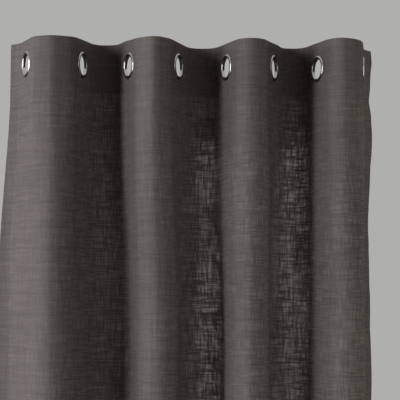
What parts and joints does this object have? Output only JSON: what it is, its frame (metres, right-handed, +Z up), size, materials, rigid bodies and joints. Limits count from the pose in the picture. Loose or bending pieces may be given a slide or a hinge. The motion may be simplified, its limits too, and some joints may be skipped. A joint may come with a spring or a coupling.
{
  "type": "eyelet curtain panel",
  "caption": "Full-length fabric curtain panel with a stiffened header and metal eyelets, hung in even wave folds that stack and spread along a rod.",
  "frame": {"origin": "centre of eyelet 1, at the panel's fixed end, level with every other eyelet's centre", "axes": "+X along the rod towards the leading edge, -Y into the room, +Z up"},
  "size_m": [0.7479, 0.1422, 2.5],
  "materials": {
    "cloth": "plain slub linen weave, dark taupe, slightly sheer",
    "turned_cloth": "the same weave, in the turned hems and the header's back layer",
    "header_tape": "stiff non-woven tape",
    "eyelet_metal": "polished nickel-plated metal",
    "label": "blank satin ribbon"
  },
  "bodies": {
    "fixed_end": {"cloth_0": "cloth", "header_tape_0": "header_tape", "header_facing_0": "turned_cloth", "bottom_hem_0": "turned_cloth", "side_hem_left": "turned_cloth", "eyelet_front_1": "eyelet_metal", "eyelet_back_1": "eyelet_metal", "care_label": "label"},
    "pleat_1": {"cloth_1": "cloth", "header_tape_1": "header_tape", "header_facing_1": "turned_cloth", "bottom_hem_1": "turned_cloth"},
    "pleat_2": {"cloth_2": "cloth", "header_tape_2": "header_tape", "header_facing_2": "turned_cloth", "bottom_hem_2": "turned_cloth", "eyelet_front_2": "eyelet_metal", "eyelet_back_2": "eyelet_metal"},
    "pleat_3": {"cloth_3": "cloth", "header_tape_3": "header_tape", "header_facing_3": "turned_cloth", "bottom_hem_3": "turned_cloth", "eyelet_front_3": "eyelet_metal", "eyelet_back_3": "eyelet_metal"},
    "pleat_4": {"cloth_4": "cloth", "header_tape_4": "header_tape", "header_facing_4": "turned_cloth", "bottom_hem_4": "turned_cloth", "eyelet_front_4": "eyelet_metal", "eyelet_back_4": "eyelet_metal"},
    "pleat_5": {"cloth_5": "cloth", "header_tape_5": "header_tape", "header_facing_5": "turned_cloth", "bottom_hem_5": "turned_cloth", "eyelet_front_5": "eyelet_metal", "eyelet_back_5": "eyelet_metal"},
    "pleat_6": {"cloth_6": "cloth", "header_tape_6": "header_tape", "header_facing_6": "turned_cloth", "bottom_hem_6": "turned_cloth", "eyelet_front_6": "eyelet_metal", "eyelet_back_6": "eyelet_metal"},
    "pleat_7": {"cloth_7": "cloth", "header_tape_7": "header_tape", "header_facing_7": "turned_cloth", "bottom_hem_7": "turned_cloth", "eyelet_front_7": "eyelet_metal", "eyelet_back_7": "eyelet_metal"},
    "pleat_8": {"cloth_8": "cloth", "header_tape_8": "header_tape", "header_facing_8": "turned_cloth", "bottom_hem_8": "turned_cloth"},
    "leading_end": {"cloth_9": "cloth", "header_tape_9": "header_tape", "header_facing_9": "turned_cloth", "bottom_hem_9": "turned_cloth", "side_hem_right": "turned_cloth", "eyelet_front_8": "eyelet_metal", "eyelet_back_8": "eyelet_metal"}
  },
  "joints": [
    {"name": "draw", "type": "hinge", "parent": "fixed_end", "child": "pleat_1", "pos_m": [0, 0, 0], "axis": [0, 0, 1], "range_deg": [-22, 30]},
    {"name": "fold_1", "type": "hinge", "parent": "pleat_1", "child": "pleat_2", "pos_m": [0.057, -0.05974, 0], "axis": [0, 0, 1], "range_deg": [-60, 44]},
    {"name": "fold_2", "type": "hinge", "parent": "pleat_2", "child": "pleat_3", "pos_m": [0.161, 0.06934, 0], "axis": [0, 0, 1], "range_deg": [-44, 60]},
    {"name": "fold_3", "type": "hinge", "parent": "pleat_3", "child": "pleat_4", "pos_m": [0.2585, -0.06674, 0], "axis": [0, 0, 1], "range_deg": [-60, 44]},
    {"name": "fold_4", "type": "hinge", "parent": "pleat_4", "child": "pleat_5", "pos_m": [0.358, 0.06746, 0], "axis": [0, 0, 1], "range_deg": [-44, 60]},
    {"name": "fold_5", "type": "hinge", "parent": "pleat_5", "child": "pleat_6", "pos_m": [0.4555, -0.06793, 0], "axis": [0, 0, 1], "range_deg": [-60, 44]},
    {"name": "fold_6", "type": "hinge", "parent": "pleat_6", "child": "pleat_7", "pos_m": [0.549, 0.07122, 0], "axis": [0, 0, 1], "range_deg": [-44, 60]},
    {"name": "fold_7", "type": "hinge", "parent": "pleat_7", "child": "pleat_8", "pos_m": [0.641, -0.06685, 0], "axis": [0, 0, 1], "range_deg": [-60, 44]},
    {"name": "leading_edge_turn", "type": "hinge", "parent": "pleat_8", "child": "leading_end", "pos_m": [0.688, 0, 0], "axis": [0, 0, 1], "range_deg": [-30, 10]}
  ],
  "couplings": [
    {"joint": "fold_1", "follows": "draw", "ratio": -2},
    {"joint": "fold_2", "follows": "draw", "ratio": 2},
    {"joint": "fold_3", "follows": "draw", "ratio": -2},
    {"joint": "fold_4", "follows": "draw", "ratio": 2},
    {"joint": "fold_5", "follows": "draw", "ratio": -2},
    {"joint": "fold_6", "follows": "draw", "ratio": 2},
    {"joint": "fold_7", "follows": "draw", "ratio": -2}
  ]
}
